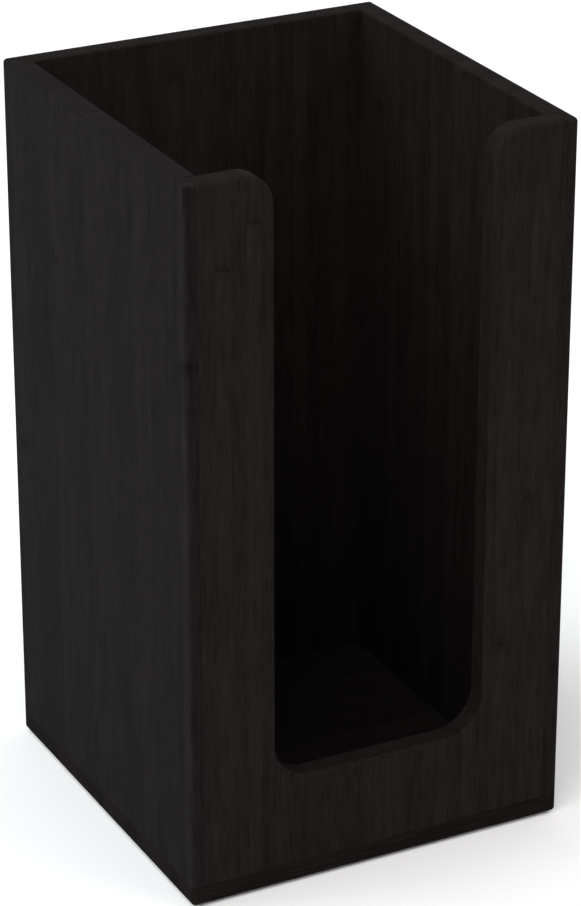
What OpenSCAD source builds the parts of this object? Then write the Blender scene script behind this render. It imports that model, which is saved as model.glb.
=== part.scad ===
// Open-topped napkin dispenser: a square tower of five dark-stained bamboo boards.
// The front board has a tall slot, open at the rim, to see and pull the napkins through.
// Origin: centre of the footprint, on the surface the feet stand on.
// +X is to the right, +Y is to the back, and +Z is up. The slot faces -Y.

/* [Body] */
// Outside width, left to right
body_w = 140; // [120:1:180]
// Outside depth, front to back
body_d = 140; // [120:1:180]
// Height of the wooden body, without its feet
body_h = 254; // [160:1:320]
// Thickness of the four wall boards
wall_t = 8; // [7:0.5:10]
// Thickness of the base board
base_t = 7; // [6:0.5:10]
// Radius of the rounded outer edges
edge_r = 1.5; // [1:0.25:3]
// Radius that eases the inner edges of the rim and the edges of the slot
ease_r = 0.75; // [0.5:0.25:1.5]

/* [Front slot] */
// Clear width of the slot
slot_w = 78.5; // [50:0.5:90]
// Height of the slot's sill above the underside of the base board
sill_h = 39.5; // [25:0.5:80]
// Radius of the slot's two bottom corners
slot_r = 14; // [6:0.5:24]
// Radius of the two top corners, where the slot meets the rim
horn_r = 10.5; // [4:0.5:14]

/* [Screws] */
// Distance of the two screws in each wall from the middle of that wall
screw_offset = 40; // [25:1:45]
// Length of a screw, head included
screw_len = 20; // [16:1:25]
// Diameter over the thread
thread_d = 3; // [2.5:0.1:3.5]
// Diameter of the countersunk head
head_d = 5.2; // [5:0.1:6]
// Depth of the head's face below the underside of the base board
head_sink = 0.3; // [0.1:0.1:0.6]

/* [Feet] */
// Diameter of a rubber foot
foot_d = 12; // [8:0.5:14]
// Thickness of a rubber foot
foot_h = 1; // [1:0.25:4]
// Distance of a foot's centre from the two outer faces beside it
foot_inset = 15; // [12:0.5:24]
// Radius that rounds a foot's lower edge
foot_edge_r = 0.4; // [0.2:0.1:0.8]

/* [Hidden] */
$fn = 64;

// Colours
WALL_COLOUR = [0.15, 0.14, 0.14];
FRONT_COLOUR = [0.13, 0.12, 0.115];
BASE_COLOUR = [0.11, 0.1, 0.1];
STEEL_COLOUR = [0.55, 0.55, 0.56];
RUBBER_COLOUR = [0.05, 0.05, 0.05];

// Heights
body_z = foot_h;
wall_z = body_z + base_t;
rim_z = body_z + body_h;
sill_z = body_z + sill_h;

// Corner joints: a rabbet in each side board leaves a lip of half the board's thickness
lip_t = wall_t / 2;
cross_w = body_w - 2 * lip_t;
inner_w = body_w - 2 * wall_t;
inner_d = body_d - 2 * wall_t;

// Screws and the holes they run in
core_d = thread_d * 0.7;
shank_d = thread_d * 0.9;
head_lip = 0.3;
head_cone = (head_d - shank_d) / 2;
thread_pitch = 1.3;
tip_len = 3;
thread_start = base_t + 1 - head_sink;
thread_turns = floor((screw_len - tip_len - thread_start) / thread_pitch);
recess_arm = head_d * 0.55;
recess_w = 0.8;
recess_depth = 1.1;
hole_gap = 0.04;
pilot_extra = 1;
pilot_depth = head_sink + screw_len - base_t + pilot_extra;
wall_mid = wall_t / 2;

// A cutter reaches this far past the faces it opens
past = 1;

// ---------- shared shapes ----------

// Block with four rounded edges along Z, centred on X and Y
module rounded_prism(w, d, h, r) {
    union() {
        translate([-w / 2 + r, -d / 2, 0]) cube([w - 2 * r, d, h]);
        translate([-w / 2, -d / 2 + r, 0]) cube([w, d - 2 * r, h]);
        for (x = [-1, 1], y = [-1, 1])
            translate([x * (w / 2 - r), y * (d / 2 - r), 0]) cylinder(h = h, r = r);
    }
}

// Outside of the whole wooden body, with every edge rounded
module envelope() {
    translate([0, 0, body_z]) intersection() {
        rounded_prism(body_w, body_d, body_h, edge_r);
        translate([0, body_d / 2, body_h / 2]) rotate([90, 0, 0])
            rounded_prism(body_w, body_h, body_d, edge_r);
        translate([-body_w / 2, 0, body_h / 2]) rotate([0, 90, 0])
            rounded_prism(body_h, body_d, body_w, edge_r);
    }
}

// Section of an easing cut: what a round of radius ease_r takes off a square edge.
// The edge is at the origin, and the wood lies towards -X and -Y.
module ease_section() {
    difference() {
        translate([-ease_r, -ease_r]) square(ease_r + past);
        translate([-ease_r, -ease_r]) circle(ease_r);
    }
}

// Easing cut along a straight edge that runs from z = 0 to z = length
module ease_line(length) {
    linear_extrude(length) ease_section();
}

// Easing cut round a quarter of a curved edge of radius r, with the wood inside the curve
module ease_outside_arc(r) {
    rotate_extrude(angle = 90) intersection() {
        translate([r, 0]) ease_section();
        translate([0, -ease_r]) square([r + past, ease_r + past]);
    }
}

// The same, with the wood outside the curve
module ease_inside_arc(r) {
    rotate_extrude(angle = 90) intersection() {
        translate([r, 0]) mirror([1, 0]) ease_section();
        translate([0, -ease_r]) square([r + ease_r, ease_r + past]);
    }
}

// ---------- boards ----------

// Easing of the four inner edges of the rim, carried round the inside corners
module rim_ease() {
    for (turn = [0 : 90 : 270]) {
        span = turn % 180 == 0 ? [inner_w, inner_d] : [inner_d, inner_w];
        rotate([0, 0, turn]) translate([-span[0] / 2, span[1] / 2, rim_z]) {
            rotate([90, 0, 0]) ease_line(span[1]);
            rotate([0, 0, 90]) ease_inside_arc(0);
        }
    }
}

// Rough holes up into a wall for the two screws that hold it, along the line y = 0
module pilot_holes() {
    for (x = [-screw_offset, screw_offset])
        translate([x, 0, wall_z - past])
            cylinder(h = past + pilot_depth, d = thread_d + 2 * hole_gap);
}

// One side board: it runs the full depth, and a rabbet at each end holds a cross board
module side_board(side) {
    x_in = side > 0 ? body_w / 2 - wall_t : -body_w / 2;
    x_rabbet = side > 0 ? body_w / 2 - wall_t - past : -body_w / 2 + lip_t;
    difference() {
        intersection() {
            envelope();
            translate([x_in, -body_d / 2, wall_z]) cube([wall_t, body_d, body_h]);
        }
        for (y = [-body_d / 2 - past, body_d / 2 - wall_t])
            translate([x_rabbet, y, wall_z - past])
                cube([wall_t - lip_t + past, wall_t + past, body_h]);
        rim_ease();
        translate([side * (body_w / 2 - wall_mid), 0, 0]) rotate([0, 0, 90]) pilot_holes();
    }
}

// One cross board: it spans between the lips of the side boards
module cross_board(side) {
    y_in = side > 0 ? body_d / 2 - wall_t : -body_d / 2;
    difference() {
        intersection() {
            envelope();
            translate([-cross_w / 2, y_in, wall_z]) cube([cross_w, wall_t, body_h]);
        }
        rim_ease();
        translate([0, side * (body_d / 2 - wall_mid), 0]) pilot_holes();
    }
}

// Opening of the slot, cut along Z from z = 0 to z = depth in a board that stands in X and Y:
// straight sides, round bottom corners, and round horns where it meets the rim
module slot_opening(depth) {
    half = slot_w / 2;
    translate([-half, sill_z + slot_r, 0]) cube([slot_w, body_h, depth]);
    translate([-half + slot_r, sill_z, 0]) cube([slot_w - 2 * slot_r, body_h, depth]);
    for (side = [0, 1]) mirror([side, 0, 0]) {
        translate([half - slot_r, sill_z + slot_r, 0]) cylinder(h = depth, r = slot_r);
        difference() {
            translate([half - past, rim_z - horn_r, 0]) cube([horn_r + past, horn_r + past, depth]);
            translate([half + horn_r, rim_z - horn_r, -past]) cylinder(h = depth + 2 * past, r = horn_r);
        }
    }
}

// Easing of the slot's edge on the board's face at z = 0, with the wood on the side of -Z
module slot_ease() {
    half = slot_w / 2;
    for (side = [0, 1]) mirror([side, 0, 0]) {
        translate([half, rim_z - horn_r, 0]) mirror([1, 0, 0]) rotate([90, 0, 0])
            ease_line(rim_z - horn_r - sill_z - slot_r);
        translate([half - slot_r, sill_z + slot_r, 0]) rotate([0, 0, -90]) ease_inside_arc(slot_r);
        translate([half + horn_r, rim_z - horn_r, 0]) rotate([0, 0, 90]) ease_outside_arc(horn_r);
    }
    translate([-half + slot_r, sill_z, 0]) rotate([90, 0, 90]) ease_line(slot_w - 2 * slot_r);
}

// ---------- sub-parts ----------

module left_side() {
    color(WALL_COLOUR) side_board(-1);
}

module right_side() {
    color(WALL_COLOUR) side_board(1);
}

module back_panel() {
    color(FRONT_COLOUR) cross_board(1);
}

module front_panel() {
    color(FRONT_COLOUR) difference() {
        cross_board(-1);
        translate([0, past - body_d / 2 + wall_t, 0]) rotate([90, 0, 0])
            slot_opening(wall_t + 2 * past);
        translate([0, -body_d / 2, 0]) rotate([90, 0, 0]) slot_ease();
        translate([0, -body_d / 2 + wall_t, 0]) mirror([0, 1, 0]) rotate([90, 0, 0]) slot_ease();
    }
}

// Base board under all four walls, drilled and countersunk from below
module base_panel() {
    color(BASE_COLOUR) difference() {
        intersection() {
            envelope();
            translate([-body_w / 2, -body_d / 2, body_z]) cube([body_w, body_d, base_t]);
        }
        at_screws() {
            translate([0, 0, -past]) cylinder(h = base_t + 2 * past, d = thread_d + 2 * hole_gap);
            translate([0, 0, -past])
                cylinder(h = past + head_sink + head_lip, d = head_d + 2 * hole_gap);
            translate([0, 0, head_sink + head_lip])
                cylinder(h = head_cone, d1 = head_d + 2 * hole_gap, d2 = shank_d + 2 * hole_gap);
        }
    }
}

// Repeats its children at the foot of each screw: two under every wall
module at_screws() {
    for (side = [-1, 1], along = [-screw_offset, screw_offset]) {
        translate([side * (body_w / 2 - wall_mid), along, body_z]) children();
        translate([along, side * (body_d / 2 - wall_mid), body_z]) children();
    }
}

// Countersunk wood screw, head down, with ring-shaped threads and a cross recess.
// The face of its head is at z = 0.
module wood_screw() {
    thread = [for (i = [0:thread_turns - 1])
        each [[thread_d / 2, thread_start + (i + 0.5) * thread_pitch],
              [core_d / 2, thread_start + (i + 1) * thread_pitch]]];
    difference() {
        rotate_extrude() polygon(concat(
            [[0, 0], [head_d / 2, 0], [head_d / 2, head_lip], [shank_d / 2, head_lip + head_cone],
             [shank_d / 2, thread_start - thread_pitch / 2], [core_d / 2, thread_start]],
            thread,
            [[core_d / 2, screw_len - tip_len], [0, screw_len]]));
        for (turn = [0, 90])
            rotate([0, 0, turn]) translate([-recess_arm / 2, -recess_w / 2, -past])
                cube([recess_arm, recess_w, past + recess_depth]);
    }
}

module base_screws() {
    color(STEEL_COLOUR) at_screws() translate([0, 0, head_sink]) wood_screw();
}

// Round rubber foot, stuck under one corner of the base board
module rubber_foot(x_side, y_side) {
    color(RUBBER_COLOUR)
        translate([x_side * (body_w / 2 - foot_inset), y_side * (body_d / 2 - foot_inset), 0])
            rotate_extrude() union() {
                translate([0, foot_edge_r]) square([foot_d / 2, foot_h - foot_edge_r]);
                square([foot_d / 2 - foot_edge_r, foot_h]);
                intersection() {
                    translate([foot_d / 2 - foot_edge_r, foot_edge_r]) circle(foot_edge_r);
                    square([foot_d / 2, foot_h]);
                }
            }
}

module foot_front_left() {
    rubber_foot(-1, -1);
}

module foot_front_right() {
    rubber_foot(1, -1);
}

module foot_back_left() {
    rubber_foot(-1, 1);
}

module foot_back_right() {
    rubber_foot(1, 1);
}

left_side();
right_side();
back_panel();
front_panel();
base_panel();
base_screws();
foot_front_left();
foot_front_right();
foot_back_left();
foot_back_right();
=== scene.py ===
import math
import random
from collections import namedtuple

import bmesh
import bpy
from mathutils import Matrix, Vector


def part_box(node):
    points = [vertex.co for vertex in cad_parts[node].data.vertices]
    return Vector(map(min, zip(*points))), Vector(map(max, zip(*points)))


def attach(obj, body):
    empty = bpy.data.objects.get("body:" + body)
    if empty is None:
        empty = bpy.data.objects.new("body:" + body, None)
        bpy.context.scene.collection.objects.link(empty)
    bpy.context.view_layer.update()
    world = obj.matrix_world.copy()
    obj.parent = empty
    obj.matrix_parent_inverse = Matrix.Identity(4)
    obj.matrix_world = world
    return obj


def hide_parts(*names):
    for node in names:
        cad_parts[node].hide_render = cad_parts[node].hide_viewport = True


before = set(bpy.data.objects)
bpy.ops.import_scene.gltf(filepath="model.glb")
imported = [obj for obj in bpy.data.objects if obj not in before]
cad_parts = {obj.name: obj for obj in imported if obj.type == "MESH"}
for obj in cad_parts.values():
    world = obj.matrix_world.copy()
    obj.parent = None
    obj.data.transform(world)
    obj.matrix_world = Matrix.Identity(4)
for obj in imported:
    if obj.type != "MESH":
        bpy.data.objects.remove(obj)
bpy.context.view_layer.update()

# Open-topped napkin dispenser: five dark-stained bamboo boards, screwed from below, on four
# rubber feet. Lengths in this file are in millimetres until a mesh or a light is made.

MM = 0.001

# ---------- sizes read from the frame ----------


def box_mm(node):
    """A CAD node's lowest and highest corners, in millimetres."""
    low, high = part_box(node)
    return Vector(low) / MM, Vector(high) / MM


LEFT_LOW, LEFT_HIGH = box_mm("left_side")
FRONT_LOW, FRONT_HIGH = box_mm("front_panel")
BASE_LOW, BASE_HIGH = box_mm("base_panel")
FOOT_LOW, FOOT_HIGH = box_mm("foot_front_right")
SCREWS_LOW, SCREWS_HIGH = box_mm("base_screws")

HALF_W = LEFT_HIGH.y
WALL_T = LEFT_HIGH.x - LEFT_LOW.x
LIP_T = FRONT_LOW.x - LEFT_LOW.x
WALL_Z = LEFT_LOW.z
RIM_Z = LEFT_HIGH.z
BODY_Z = BASE_LOW.z
BASE_T = BASE_HIGH.z - BASE_LOW.z
FOOT_H = FOOT_HIGH.z - FOOT_LOW.z
FOOT_R = (FOOT_HIGH.x - FOOT_LOW.x) / 2
FOOT_AT = (FOOT_HIGH.x + FOOT_LOW.x) / 2
SCREW_Z = SCREWS_LOW.z
SCREW_LEN = SCREWS_HIGH.z - SCREWS_LOW.z

# ---------- sizes of the shapes inside those boxes ----------

# Radii of the boards' edges: the body's outside, its inside and the slot, and the joints
EDGE_R = 1.5
EASE_R = 0.75
JOINT_R = 0.2
BACK_JOINT_R = 0.1

# The slot: its width, its sill above the body's underside, and its lower and upper corners
SLOT_W = 78.5
SLOT_SILL = 39.5
SLOT_R = 14.0
HORN_R = 10.5

# Steps round a rounded edge, the least height between two rings of points, and the weld distance
ROUNDING_STEPS = 6
RING_GAP = 0.012
WELD = 0.002

# Screws, two to a wall: how far each stands from the wall's middle, and where the wall is
SCREW_OFFSET = 40.0
SCREW_AT = HALF_W - WALL_T / 2

# One screw, from its head to its point, with its thread's ridge
HEAD_R = 2.6
HEAD_LIP = 0.3
HEAD_ROUND = 0.12
NECK_R = 0.15
SHANK_R = 1.35
SHANK_TAPER = 0.6
CORE_R = 1.05
TIP_LEN = 3.0
TIP_R = 0.03
THREAD_R = 1.5
THREAD_PITCH = 1.3
THREAD_Z = BASE_T + 0.7
THREAD_END = SCREW_LEN - 0.4
THREAD_SINK = 0.06
THREAD_FLANK = 0.3
THREAD_CREST = 0.04

# A bar of the cross recess, at its start outside the head and at its floor: height from the
# head's face, half length and half width
RECESS = ((-0.3, 1.55, 0.46), (1.15, 0.75, 0.28))

# Holes: the gap round a screw, the top of a pilot hole, and how far a cutter passes a face
HOLE_GAP = 0.04
PILOT_TOP = SCREWS_HIGH.z + 1.0
PAST = 1.0

# Feet: lower edge, dish of the tread, thickness of the glue and its step inwards, upper edge
FOOT_EDGE_R = 0.4
FOOT_DISH = 0.12
GLUE_T = 0.15
GLUE_STEP = 0.25
FOOT_BEVEL = 0.1

# The lights' size, elevation in degrees, distance and aim, in metres
LIGHT_SIZE = 1.6
LIGHT_ELEVATION = 45
LIGHT_DISTANCE = 2.2
LIGHT_AIM = (0, 0, 0.12)


# ---------- camera and lights ----------


def add_facing(name, data, azimuth, elevation, distance, aim):
    """Link an object that looks at aim from an azimuth (0 in front) and elevation in degrees."""
    turn, tilt = math.radians(azimuth), math.radians(elevation)
    out, up = math.cos(tilt), math.sin(tilt)
    back = Vector((math.sin(turn) * out, -math.cos(turn) * out, up))
    made = bpy.data.objects.new(name, data)
    made.location = Vector(aim) + back * distance
    made.rotation_euler = back.to_track_quat("Z", "Y").to_euler()
    bpy.context.scene.collection.objects.link(made)
    return made


def make_camera(azimuth, elevation, distance, aim, lens):
    data = bpy.data.cameras.new("camera")
    data.lens = lens
    data.sensor_width = 36
    data.clip_end = 50
    camera = add_facing("camera", data, azimuth, elevation, distance, aim)
    bpy.context.scene.camera = camera


def make_light(name, azimuth, power, colour):
    """A large square soft light, halfway up the sky."""
    data = bpy.data.lights.new(name, "AREA")
    data.size = LIGHT_SIZE
    data.energy = power
    data.color = colour
    add_facing(name, data, azimuth, LIGHT_ELEVATION, LIGHT_DISTANCE, LIGHT_AIM)


def make_world(colour, strength):
    world = bpy.data.worlds.new("studio")
    world.use_nodes = True
    background = world.node_tree.nodes["Background"]
    background.inputs["Color"].default_value = (*colour, 1)
    background.inputs["Strength"].default_value = strength
    bpy.context.scene.world = world


# ---------- meshes ----------

# A corner of a board's outline: where it is, the radius that rounds it, and the radii that round
# the two edges of the board's faces along the side that leaves this corner.
Corner = namedtuple("Corner", "u v fillet low_r high_r")


def object_from(name, mesh_builder, material, smooth_below=40):
    """Make a linked object from a bmesh, smooth except across edges sharper than the limit."""
    mesh_builder.normal_update()
    for face in mesh_builder.faces:
        face.smooth = True
    for edge in mesh_builder.edges:
        edge.smooth = edge.calc_face_angle(0) < math.radians(smooth_below)
    mesh = bpy.data.meshes.new(name)
    mesh_builder.to_mesh(mesh)
    mesh_builder.free()
    mesh.materials.append(material)
    piece = bpy.data.objects.new(name, mesh)
    bpy.context.scene.collection.objects.link(piece)
    return piece


def fillet_steps(radius):
    """Number of straight steps round a quarter of a fillet."""
    return 0 if radius == 0 else 4 + round(1.5 * radius)


def outline_ring(corners, insets):
    """Points of an outline, each side moved in by its own inset, and how worn each point is."""
    points = []
    for i, corner in enumerate(corners):
        at = Vector((corner.u, corner.v))
        before, after = corners[i - 1], corners[(i + 1) % len(corners)]
        along_in = (at - Vector((before.u, before.v))).normalized()
        along_out = (Vector((after.u, after.v)) - at).normalized()
        out_in = Vector((along_in.y, -along_in.x))
        out_out = Vector((along_out.y, -along_out.x))
        convex = 1 if along_in.cross(along_out) > 0 else -1
        inset = min(insets[i - 1], insets[i])
        sharp = at - out_in * insets[i - 1] - out_out * insets[i]
        radius = max(corner.fillet - convex * inset, 0)
        centre = sharp - (out_in + out_out) * convex * radius
        steps = fillet_steps(corner.fillet)
        for step in range(steps + 1):
            angle = math.pi / 2 * step / max(steps, 1)
            normal = out_in * math.cos(angle) + out_out * math.sin(angle)
            wear = math.sin(2 * angle) if corner.fillet == EDGE_R else 0
            points.append((centre + normal * convex * radius, wear))
    return points


def rounding_levels(radii):
    """Heights above a face at which its rounded edges need a ring of points."""
    turns = [math.pi / 2 * (k + 1) / ROUNDING_STEPS for k in range(ROUNDING_STEPS)]
    kept = [0.0]
    for level in sorted({radius * (1 - math.cos(turn)) for radius in radii for turn in turns}):
        if level - kept[-1] > RING_GAP:
            kept.append(level)
    return kept


def rounding_inset(radius, height):
    """How far a rounded edge has drawn in at a height above its face, and how worn it is there."""
    if height >= radius:
        return 0.0, 0.0
    rise = radius - height
    inset = radius - math.sqrt(radius * radius - rise * rise)
    wear = 2 * rise * (radius - inset) / (radius * radius) if radius >= EASE_R else 0.0
    return inset, wear


def board_rings(corners, thickness):
    """Rings of points up through a board, each a height and its sides' insets and wear."""
    low_radii = [corner.low_r for corner in corners]
    high_radii = [corner.high_r for corner in corners]
    low = [
        (level, [rounding_inset(radius, level) for radius in low_radii])
        for level in rounding_levels(low_radii)
    ]
    high = [
        (thickness - level, [rounding_inset(radius, level) for radius in high_radii])
        for level in rounding_levels(high_radii)
    ]
    return low + high[::-1]


def skin(built, loops):
    """Join a stack of loops of points into one closed surface."""
    for lower, upper in zip(loops, loops[1:]):
        for i in range(len(lower)):
            j = (i + 1) % len(lower)
            built.faces.new((lower[i], lower[j], upper[j], upper[i]))
    built.faces.new(loops[0][::-1])
    built.faces.new(loops[-1])


def board_mesh(corners, thickness, to_xyz):
    """A board of one thickness with a rounded outline; to_xyz turns (u, v, w) into (x, y, z)."""
    built = bmesh.new()
    wear_layer = built.verts.layers.float.new("wear")
    loops = []
    for height, sides in board_rings(corners, thickness):
        insets = [inset for inset, _ in sides]
        side_wear = []
        for i, corner in enumerate(corners):
            wear = max(sides[i - 1][1], sides[i][1])
            side_wear += [wear] * (fillet_steps(corner.fillet) + 1)
        loop = []
        for (point, corner_wear), along_wear in zip(outline_ring(corners, insets), side_wear):
            vert = built.verts.new(Vector(to_xyz(point.x, point.y, height)) * MM)
            vert[wear_layer] = max(corner_wear, along_wear)
            loop.append(vert)
        loops.append(loop)
    skin(built, loops)
    bmesh.ops.remove_doubles(built, verts=built.verts, dist=WELD * MM)
    bmesh.ops.dissolve_degenerate(built, edges=built.edges, dist=WELD / 2 * MM)
    bmesh.ops.recalc_face_normals(built, faces=built.faces)
    return built


def lathe_mesh(profile, steps, centre=(0, 0, 0)):
    """A closed shape turned round Z, from (radius, height) points that begin and end on it."""
    built = bmesh.new()
    turns = [2 * math.pi * k / steps for k in range(steps)]
    rings = []
    for radius, height in profile:
        ring = []
        for turn in turns if radius else [0]:
            point = Vector((radius * math.cos(turn), radius * math.sin(turn), height))
            ring.append(built.verts.new((Vector(centre) + point) * MM))
        rings.append(ring if radius else ring * steps)
    for lower, upper in zip(rings, rings[1:]):
        for i in range(steps):
            j = (i + 1) % steps
            face = list(dict.fromkeys((lower[i], lower[j], upper[j], upper[i])))
            if len(face) > 2:
                built.faces.new(face)
    bmesh.ops.recalc_face_normals(built, faces=built.faces)
    return built


def arc(centre_r, centre_z, radius, start, end, steps):
    """Points of an arc in a lathe profile, with its angles in degrees from the +R direction."""
    angles = [math.radians(start + (end - start) * k / steps) for k in range(steps + 1)]
    return [(centre_r + radius * math.cos(a), centre_z + radius * math.sin(a)) for a in angles]


def combine(piece, tool_mesh, operation):
    """Add a closed mesh to a piece ("UNION"), or cut it out ("DIFFERENCE")."""
    tool = object_from("tool", tool_mesh, piece.data.materials[0])
    modifier = piece.modifiers.new("combine", "BOOLEAN")
    modifier.operation = operation
    modifier.solver = "EXACT"
    modifier.object = tool
    apply_modifiers(piece)
    bpy.data.objects.remove(tool)


def drop_slivers(piece):
    """Weld points that almost touch, and split the faces into triangles without slivers."""
    built = bmesh.new()
    built.from_mesh(piece.data)
    bmesh.ops.remove_doubles(built, verts=built.verts, dist=2 * WELD * MM)
    bmesh.ops.triangulate(built, faces=built.faces)
    bmesh.ops.dissolve_degenerate(built, edges=built.edges, dist=WELD * MM)
    built.to_mesh(piece.data)
    built.free()


def apply_modifiers(piece):
    """Replace a piece's mesh by the result of its modifiers."""
    evaluated = piece.evaluated_get(bpy.context.evaluated_depsgraph_get())
    mesh = bpy.data.meshes.new_from_object(evaluated)
    piece.modifiers.clear()
    piece.data = mesh


def flatten_shading(piece):
    """Let the large flat faces set the shading of the rounded edges that join them."""
    modifier = piece.modifiers.new("flat_faces_lead", "WEIGHTED_NORMAL")
    modifier.mode = "FACE_AREA"
    modifier.weight = 100
    modifier.keep_sharp = True
    apply_modifiers(piece)


# ---------- node graphs ----------


class Graph:
    """Short calls that add nodes to one material and return what the nodes put out."""

    def __init__(self, name):
        self.material = bpy.data.materials.new(name)
        self.material.use_nodes = True
        self.tree = self.material.node_tree
        self.shader = self.tree.nodes["Principled BSDF"]

    def node(self, kind, inputs=None, **settings):
        made = self.tree.nodes.new("ShaderNode" + kind)
        for key, value in settings.items():
            setattr(made, key, value)
        for key, value in (inputs or {}).items():
            self.feed(made.inputs[key], value)
        return made

    def feed(self, socket, value):
        if isinstance(value, bpy.types.NodeSocket):
            self.tree.links.new(value, socket)
        else:
            socket.default_value = value

    def math(self, operation, *values):
        return self.node("Math", dict(enumerate(values)), operation=operation).outputs[0]

    def total(self, start, parts, weights):
        """A start value plus every named part times its weight."""
        result = start
        for name, weight in weights.items():
            result = self.math("MULTIPLY_ADD", parts[name], weight, result)
        return result

    def fade(self, value, low, high, low_out=0.0, high_out=1.0):
        """A smooth step from low_out to high_out as the value goes from low to high."""
        ends = {"From Min": low, "From Max": high, "To Min": low_out, "To Max": high_out}
        inputs = {"Value": value, **ends}
        return self.node("MapRange", inputs, interpolation_type="SMOOTHSTEP").outputs[0]

    def place(self):
        return self.node("TexCoord").outputs["Object"]

    def split(self, vector):
        return self.node("SeparateXYZ", {"Vector": vector}).outputs

    def join(self, x, y, z):
        return self.node("CombineXYZ", {"X": x, "Y": y, "Z": z}).outputs[0]

    def stretched(self, parts, sizes):
        """A vector of positions, each divided by a size."""
        return self.join(*[self.math("DIVIDE", part, size) for part, size in zip(parts, sizes)])

    def noise(self, vector, scale=1.0, detail=2.0):
        inputs = {"Vector": vector, "Scale": scale, "Detail": detail}
        return self.node("TexNoise", inputs).outputs[0]

    def ramp(self, value, *stops):
        made = self.node("ValToRGB", {"Fac": value})
        elements = made.color_ramp.elements
        while len(elements) < len(stops):
            elements.new(0.5)
        for element, (position, colour) in zip(elements, stops):
            element.position = position
            element.color = (*colour, 1)
        return made.outputs[0]

    def set(self, **inputs):
        for key, value in inputs.items():
            self.feed(self.shader.inputs[key.replace("_", " ")], value)


# ---------- materials ----------

# Glued strips: their width, how much it varies, the shift of the pattern from board to board,
# and how far from a joint its line is dark and where it ends, in parts of a strip
STRIP_W = 5.4
STRIP_RANDOM = 0.35
BOARD_SHIFT = 31.7
SEAM = (0.012, 0.05)

# Rings of the cane: their spacing, how far they stray, and how far from a ring its line and its
# halo are darkest and where they end
CANE_LENGTH = 270.0
RING_STRAY = 9.0
RING_LINE = (0.2, 1.0)
RING_HALO = (0.5, 5.0)

# Fibres: how far they sway sideways and over what length, and shifts between strips and layers
SWAY = 0.8
SWAY_LENGTH = 45.0
STRIP_SHIFT = 900.0
SWAY_SHIFT = 40.0
LAYER_SHIFT = 13.1

# Streaks of the fibres: width, length and noise detail
STREAKS = {
    "fine": (0.4, 6.5, 3),
    "middle": (1.1, 15, 2),
    "broad": (5, 40, 2),
    "cloud": (9, 18, 2),
    "dash": (0.5, 7, 2),
}

# The two ends of the stain's colour, and how much each feature moves the shade between them
STAIN_DARK = (0.0054, 0.0043, 0.0040)
STAIN_LIGHT = (0.0171, 0.0140, 0.0131)
SHADE_START = -0.77
SHADE_WEIGHTS = {
    "strip": 0.22,
    "fine": 0.82,
    "middle": 0.82,
    "broad": 0.36,
    "cloud": 0.32,
    "dash": -0.30,
    "marks": -0.42,
    "seam": -0.08,
    "wear": 0.08,
}

# The same for roughness, and for the height that the bump shows
ROUGH_START = 0.50
ROUGH_WEIGHTS = {"fine": 0.22, "dash": 0.10, "marks": 0.08}
HEIGHT_WEIGHTS = {"fine": 0.8, "dash": -0.5, "seam": -0.6, "marks": -0.3}

# The object axes that lie across, through and along the grain
SIDE_GRAIN = (1, 0, 2)
CROSS_GRAIN = (0, 1, 2)
BASE_GRAIN = (1, 2, 0)


def strip_pattern(graph, across, seed):
    """The glued-up strips: random numbers for each strip, and a line where two strips meet."""
    position = graph.math("MULTIPLY_ADD", across, 1 / STRIP_W, BOARD_SHIFT * seed)
    inputs = {"W": position, "Scale": 1.0, "Randomness": STRIP_RANDOM}
    cells = graph.node("TexVoronoi", inputs, voronoi_dimensions="1D")
    chances = graph.node("SeparateColor", {"Color": cells.outputs["Color"]}).outputs
    edges = graph.node("TexVoronoi", inputs, voronoi_dimensions="1D", feature="DISTANCE_TO_EDGE")
    seam = graph.fade(edges.outputs["Distance"], *SEAM, 1, 0)
    return chances, seam


def fibre_pattern(graph, across, deep, along, chance):
    """Fibres at several scales, long along the grain and narrow across it, differing by strip."""
    travel = graph.math("MULTIPLY_ADD", chance, STRIP_SHIFT, along)
    own = graph.math("MULTIPLY", chance, SWAY_SHIFT)
    sway = graph.noise(graph.join(0.0, own, graph.math("DIVIDE", travel, SWAY_LENGTH)))
    across = graph.math("MULTIPLY_ADD", sway, SWAY, across)
    layers = {}
    for i, (name, (width, length, detail)) in enumerate(STREAKS.items()):
        vector = graph.join(
            graph.math("MULTIPLY_ADD", across, 1 / width, LAYER_SHIFT * i),
            graph.math("DIVIDE", deep, width),
            graph.math("DIVIDE", travel, length),
        )
        layers[name] = graph.noise(vector, detail=detail)
    layers["dash"] = graph.fade(layers["dash"], 0.60, 0.70)
    return layers


def node_marks(graph, place, chances):
    """The rings of the cane: a thin dark line over a strip, far apart and some hardly there."""
    start = graph.math("MULTIPLY_ADD", chances[2], CANE_LENGTH, place[2])
    turn = graph.math("FRACT", graph.math("DIVIDE", start, CANE_LENGTH))
    offset = graph.math("MULTIPLY", graph.math("SUBTRACT", turn, 0.5), CANE_LENGTH)
    ragged = graph.noise(graph.stretched(place, (2.8, 2.8, 9.0)), detail=3)
    stray = graph.math("SUBTRACT", ragged, 0.5)
    distance = graph.math("ABSOLUTE", graph.math("MULTIPLY_ADD", stray, RING_STRAY, offset))
    broken = graph.fade(graph.noise(graph.stretched(place, (1.1, 1.1, 2.0))), 0.35, 0.6, 0.2, 1)
    parts = {
        "line": graph.math("MULTIPLY", graph.fade(distance, *RING_LINE, 1, 0), broken),
        "halo": graph.fade(distance, *RING_HALO, 1, 0),
    }
    strength = graph.fade(chances[0], 0.3, 1.0, 0.05, 1)
    return graph.math("MULTIPLY", graph.total(0.0, parts, {"line": 0.65, "halo": 0.35}), strength)


def facing(graph, axis):
    """How far a face looks along one of the board's axes: 1 on its ends or edges, 0 elsewhere."""
    normal = graph.split(graph.node("NewGeometry").outputs["Normal"])[axis]
    return graph.fade(graph.math("ABSOLUTE", normal), 0.5, 1.0)


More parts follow.
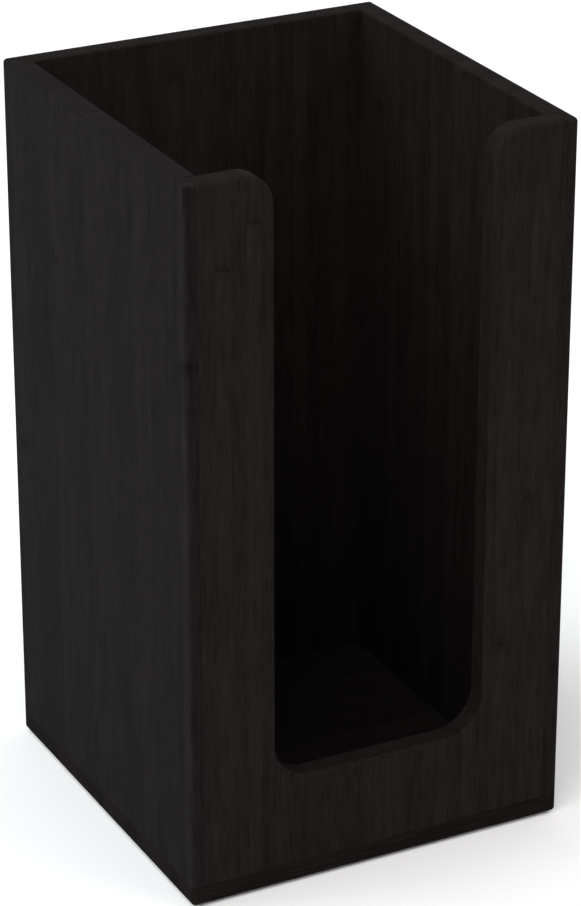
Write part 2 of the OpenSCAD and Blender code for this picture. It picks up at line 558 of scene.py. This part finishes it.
# The default end_shade lightens the rims and the slot's sill: a painted highlight where they face
# the light above.
def bamboo(name, grain, seed, tint, edge_shade=0.0, end_shade=0.05):
    """Black-stained bamboo board, with its own tint and its own shade on sawn edges and ends, both
    set to how each face is lit, so partly its tone and partly painted light and shade.
    """
    graph = Graph(name)
    axes = graph.split(graph.place())
    place = [graph.math("MULTIPLY", axes[axis], 1 / MM) for axis in grain]
    chances, seam = strip_pattern(graph, place[0], seed)
    parts = {
        "strip": chances[0],
        "seam": seam,
        "marks": node_marks(graph, place, chances),
        "wear": graph.node("Attribute", attribute_name="wear").outputs["Fac"],
        # The edge and end masks shade faces by the way they look: partly sawn-grain stain, partly
        # painted light and shade.
        "edge": facing(graph, grain[0]),
        "end": facing(graph, grain[2]),
        **fibre_pattern(graph, *place, chances[1]),
    }
    weights = {**SHADE_WEIGHTS, "edge": edge_shade, "end": end_shade}
    shade = graph.total(SHADE_START, parts, weights)
    dark, light = [
        [part * t for part, t in zip(stain, tint)] for stain in (STAIN_DARK, STAIN_LIGHT)
    ]
    height = graph.total(0.0, parts, HEIGHT_WEIGHTS)
    bump = graph.node("Bump", {"Height": height, "Strength": 0.35, "Distance": 0.05 * MM})
    graph.set(
        Base_Color=graph.ramp(shade, (0.0, dark), (1.0, light)),
        Roughness=graph.total(ROUGH_START, parts, ROUGH_WEIGHTS),
        Specular_IOR_Level=0.0070,
        Normal=bump.outputs[0],
    )
    return graph.material


def rubber(name):
    """Moulded black rubber with a fine matt skin."""
    graph = Graph(name)
    grain = graph.noise(graph.place(), scale=4000.0)
    colour = graph.ramp(grain, (0.3, (0.010, 0.010, 0.011)), (0.7, (0.020, 0.020, 0.021)))
    bump = graph.node("Bump", {"Height": grain, "Strength": 0.3, "Distance": 0.03 * MM})
    rough = graph.fade(grain, 0.2, 0.8, 0.6, 0.8)
    graph.set(Base_Color=colour, Roughness=rough, Normal=bump.outputs[0])
    return graph.material


def zinc_steel(name):
    """Bright zinc-plated steel with a faint yellow and blue cast and fine scratches."""
    graph = Graph(name)
    place = graph.place()
    cast = graph.noise(place, scale=260.0)
    colour = graph.ramp(cast, (0.3, (0.52, 0.54, 0.60)), (0.7, (0.66, 0.62, 0.52)))
    rough = graph.fade(graph.noise(place, scale=2500.0, detail=3.0), 0.3, 0.7, 0.22, 0.42)
    graph.set(Base_Color=colour, Roughness=rough, Metallic=1.0)
    return graph.material


def floor_paint(name):
    """Plain matt off-white paint."""
    graph = Graph(name)
    soft = graph.noise(graph.place(), scale=3.0, detail=1.0)
    colour = graph.ramp(soft, (0.3, (0.955, 0.93, 0.93)), (0.7, (0.965, 0.94, 0.94)))
    graph.set(Base_Color=colour, Roughness=0.9, Specular_IOR_Level=0.0)
    return graph.material


# ---------- boards ----------


def side_board(name, side, material):
    """A side board, with a rabbet at each end that leaves a lip over the cross board."""
    lip, inner = -HALF_W + LIP_T, -HALF_W + WALL_T
    corners = [
        Corner(-HALF_W, -HALF_W, EDGE_R, JOINT_R, EDGE_R),
        Corner(lip, -HALF_W, JOINT_R, JOINT_R, BACK_JOINT_R),
        Corner(lip, -HALF_W + WALL_T, 0, JOINT_R, BACK_JOINT_R),
        Corner(inner, -HALF_W + WALL_T, 0, JOINT_R, EASE_R),
        Corner(inner, HALF_W - WALL_T, 0, JOINT_R, BACK_JOINT_R),
        Corner(lip, HALF_W - WALL_T, 0, JOINT_R, BACK_JOINT_R),
        Corner(lip, HALF_W, JOINT_R, JOINT_R, EDGE_R),
        Corner(-HALF_W, HALF_W, EDGE_R, JOINT_R, EDGE_R),
    ]
    built = board_mesh(corners, RIM_Z - WALL_Z, lambda u, v, w: (-side * u, v, WALL_Z + w))
    return object_from(name, built, material)


def back_board(name, material):
    """The plain cross board at the back."""
    edge = -FRONT_LOW.x
    corners = [
        Corner(-edge, WALL_Z, 0, BACK_JOINT_R, JOINT_R),
        Corner(edge, WALL_Z, 0, BACK_JOINT_R, JOINT_R),
        Corner(edge, RIM_Z, 0, EASE_R, EDGE_R),
        Corner(-edge, RIM_Z, 0, BACK_JOINT_R, JOINT_R),
    ]
    inner = HALF_W - WALL_T
    built = board_mesh(corners, WALL_T, lambda u, v, w: (u, inner + w, v))
    return object_from(name, built, material)


def front_board(name, material):
    """The cross board at the front, with its slot open at the rim."""
    edge, half, sill = -FRONT_LOW.x, SLOT_W / 2, BODY_Z + SLOT_SILL
    slot = (EASE_R, EASE_R)
    rim = (EDGE_R, EASE_R)
    joint = (JOINT_R, BACK_JOINT_R)
    corners = [
        Corner(-edge, WALL_Z, 0, *joint),
        Corner(edge, WALL_Z, 0, *joint),
        Corner(edge, RIM_Z, 0, *rim),
        Corner(half, RIM_Z, HORN_R, *slot),
        Corner(half, sill, SLOT_R, *slot),
        Corner(-half, sill, SLOT_R, *slot),
        Corner(-half, RIM_Z, HORN_R, *rim),
        Corner(-edge, RIM_Z, 0, *joint),
    ]
    built = board_mesh(corners, WALL_T, lambda u, v, w: (u, -HALF_W + w, v))
    return object_from(name, built, material)


def base_board(name, material):
    """The square board under the walls."""
    corners = [
        Corner(x * HALF_W, y * HALF_W, EDGE_R, EDGE_R, JOINT_R)
        for x, y in ((-1, -1), (1, -1), (1, 1), (-1, 1))
    ]
    built = board_mesh(corners, BASE_T, lambda u, v, w: (u, v, BODY_Z + w))
    return object_from(name, built, material)


# ---------- screws and their holes ----------


def screw_places():
    """Where the screws stand, in X and Y: two under the middle of every wall."""
    for across in (-SCREW_AT, SCREW_AT):
        for along in (-SCREW_OFFSET, SCREW_OFFSET):
            yield across, along
            yield along, across


def drill(board, profile, places):
    """Drill holes of one turned profile up into a board."""
    for x, y in places:
        combine(board, lathe_mesh(profile, 40, (x, y, 0)), "DIFFERENCE")


def drill_base(board):
    """Clearance holes through the base board, countersunk from below."""
    hole, head = THREAD_R + HOLE_GAP, HEAD_R + HOLE_GAP
    low, high, cone_z = BODY_Z - PAST, WALL_Z + PAST, SCREW_Z + HEAD_LIP
    profile = [(0, low), (head, low), (head, cone_z)]
    profile += [(hole, cone_z + head - hole), (hole, high), (0, high)]
    drill(board, profile, screw_places())


def drill_wall(board, is_under):
    """Pilot holes up into the foot of a wall, at the screws for which is_under is true."""
    hole, low = THREAD_R + HOLE_GAP, WALL_Z - PAST
    profile = [(0, low), (hole, low), (hole, PILOT_TOP), (0, PILOT_TOP + hole)]
    drill(board, profile, [place for place in screw_places() if is_under(*place)])


def core_radius(z):
    """Radius of a screw's core, which runs out in a point."""
    return CORE_R * min((SCREW_LEN - z) / TIP_LEN, 1)


def screw_blank():
    """A countersunk wood screw before its thread and its recess; its head's face is at z = 0."""
    shoulder = HEAD_LIP + HEAD_R - SHANK_R
    head = [(0, 0), (HEAD_R - HEAD_ROUND, 0), (HEAD_R - HEAD_ROUND / 4, HEAD_ROUND / 3)]
    head += [(HEAD_R, HEAD_ROUND), (HEAD_R, HEAD_LIP)]
    neck = [(SHANK_R + NECK_R, shoulder - NECK_R), (SHANK_R + NECK_R / 5, shoulder + NECK_R / 3)]
    shank = [(SHANK_R, shoulder + 2 * NECK_R), (SHANK_R, THREAD_Z - SHANK_TAPER)]
    shank += [(CORE_R, THREAD_Z)]
    tip = [(CORE_R, SCREW_LEN - TIP_LEN), (CORE_R / 2, SCREW_LEN - TIP_LEN / 2), (0, SCREW_LEN)]
    return lathe_mesh(head + neck + shank + tip, 32)


def thread_ridge():
    """A ridge wound round a screw's core, fading over two thirds of a turn at both ends."""
    built = bmesh.new()
    steps = 20
    count = int((THREAD_END - THREAD_Z) / THREAD_PITCH * steps)
    sections = []
    for i in range(count + 1):
        angle = 2 * math.pi * i / steps
        z = THREAD_Z + THREAD_PITCH * i / steps
        root = max(core_radius(z) - THREAD_SINK, TIP_R)
        fade = min(1, 1.5 * (i + 1) / steps, 1.5 * (count + 1 - i) / steps)
        top = root + (THREAD_R - CORE_R + THREAD_SINK) * fade
        section = (
            (root, -THREAD_FLANK), (top, -THREAD_CREST), (top, THREAD_CREST), (root, THREAD_FLANK)
        )
        sections.append([
            built.verts.new(Vector((r * math.cos(angle), r * math.sin(angle), z + dz)) * MM)
            for r, dz in section
        ])
    skin(built, sections)
    bmesh.ops.recalc_face_normals(built, faces=built.faces)
    return built


def recess_bar(turned):
    """One bar of the cross recess in a screw's head, narrowing with depth."""
    built = bmesh.new()
    loops = []
    for z, long, wide in RECESS:
        x, y = (wide, long) if turned else (long, wide)
        corners = ((-x, -y, z), (x, -y, z), (x, y, z), (-x, y, z))
        loops.append([built.verts.new(Vector(corner) * MM) for corner in corners])
    skin(built, loops)
    return built


def wood_screws(name, material):
    """The eight screws, each turned by its own angle, as driving leaves them."""
    screw = object_from("screw", screw_blank(), material)
    combine(screw, thread_ridge(), "UNION")
    for turned in (False, True):
        combine(screw, recess_bar(turned), "DIFFERENCE")
    drop_slivers(screw)
    chance = random.Random(8)
    built = bmesh.new()
    for x, y in screw_places():
        before = len(built.verts)
        built.from_mesh(screw.data)
        built.verts.ensure_lookup_table()
        turn = Matrix.Rotation(chance.uniform(0, math.pi), 4, "Z")
        move = Matrix.Translation(Vector((x, y, SCREW_Z)) * MM)
        bmesh.ops.transform(built, matrix=move @ turn, verts=built.verts[before:])
    bpy.data.objects.remove(screw)
    return object_from(name, built, material)


# ---------- feet ----------


def foot(name, x, y, material):
    """A self-adhesive rubber foot: a dished tread, a rounded lower edge and a thin pad of glue."""
    glue_z, glue_r = FOOT_H - GLUE_T, FOOT_R - GLUE_STEP
    tread = [(0, FOOT_DISH), (FOOT_R * 0.6, FOOT_DISH)]
    tread += [(FOOT_R * 0.66, FOOT_DISH * 0.6), (FOOT_R * 0.72, 0)]
    edge = arc(FOOT_R - FOOT_EDGE_R, FOOT_EDGE_R, FOOT_EDGE_R, -90, 0, 8)
    bevel = [(FOOT_R, glue_z - FOOT_BEVEL), (FOOT_R - FOOT_BEVEL, glue_z)]
    pad = [(glue_r, glue_z), (glue_r, FOOT_H), (0, FOOT_H)]
    built = lathe_mesh(tread + edge + bevel + pad, 64, (x, y, 0))
    return object_from(name, built, material, smooth_below=50)


# ---------- the scene ----------


def place(piece, node, slot):
    """Put a finished piece in the place of its CAD node."""
    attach(piece, "root")
    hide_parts(node)


def build_boards():
    # The left board's cool tint is a painted sheen, matched to how its outer face is lit.
    left_look = bamboo("left_bamboo", SIDE_GRAIN, 1, (0.95, 1.0, 1.04), -0.22)
    # The right board and the base are lightened as painted light on the shaded wall and floor of
    # the well; their edges and ends are darkened to take it back outside.
    right_look = bamboo("right_bamboo", SIDE_GRAIN, 2, (1.12, 1.08, 1.07), -0.20, -0.04)
    back_look = bamboo("back_bamboo", CROSS_GRAIN, 3, (1.05, 0.98, 0.97))
    front_look = bamboo("front_bamboo", CROSS_GRAIN, 4, (1.02, 1.0, 1.0))
    base_look = bamboo("base_bamboo", BASE_GRAIN, 5, (1.11, 1.08, 1.06), -0.26, -0.30)
    left = side_board("left_board", -1, left_look)
    right = side_board("right_board", 1, right_look)
    back = back_board("back_board", back_look)
    front = front_board("front_board", front_look)
    base = base_board("base_board", base_look)
    drill_wall(left, lambda x, y: x == -SCREW_AT)
    drill_wall(right, lambda x, y: x == SCREW_AT)
    drill_wall(back, lambda x, y: y == SCREW_AT)
    drill_wall(front, lambda x, y: y == -SCREW_AT)
    drill_base(base)
    nodes = {left: "left_side", right: "right_side", back: "back_panel", front: "front_panel"}
    for piece, node in nodes.items():
        flatten_shading(piece)
        place(piece, node, "stained_bamboo")
    flatten_shading(base)
    place(base, "base_panel", "stained_bamboo_base")


def build_feet():
    look = rubber("foot_rubber")
    for end, y in (("front", -FOOT_AT), ("back", FOOT_AT)):
        for side, x in (("left", -FOOT_AT), ("right", FOOT_AT)):
            piece = foot(f"rubber_foot_{end}_{side}", x, y, look)
            place(piece, f"foot_{end}_{side}", "foot_rubber")


def build_screws():
    place(wood_screws("wood_screws", zinc_steel("zinc_steel")), "base_screws", "screw_steel")


def build_floor():
    built = bmesh.new()
    bmesh.ops.create_grid(built, x_segments=8, y_segments=8, size=8)
    object_from("floor", built, floor_paint("floor_paint"))


make_camera(azimuth=-27.24, elevation=24.47, distance=1.238, aim=(0.0024, 0, 0.12326), lens=144)
build_boards()
build_feet()
build_screws()
build_floor()
make_world((0.975, 0.995, 1.0), 0.66)
make_light("back_left", azimuth=-125, power=25, colour=(0.86, 1.0, 1.02))
make_light("front_left", azimuth=-50, power=23, colour=(0.99, 0.99, 0.99))
make_light("front_right", azimuth=50, power=13, colour=(1.0, 0.985, 0.97))
bpy.context.scene.view_settings.view_transform = "Standard"
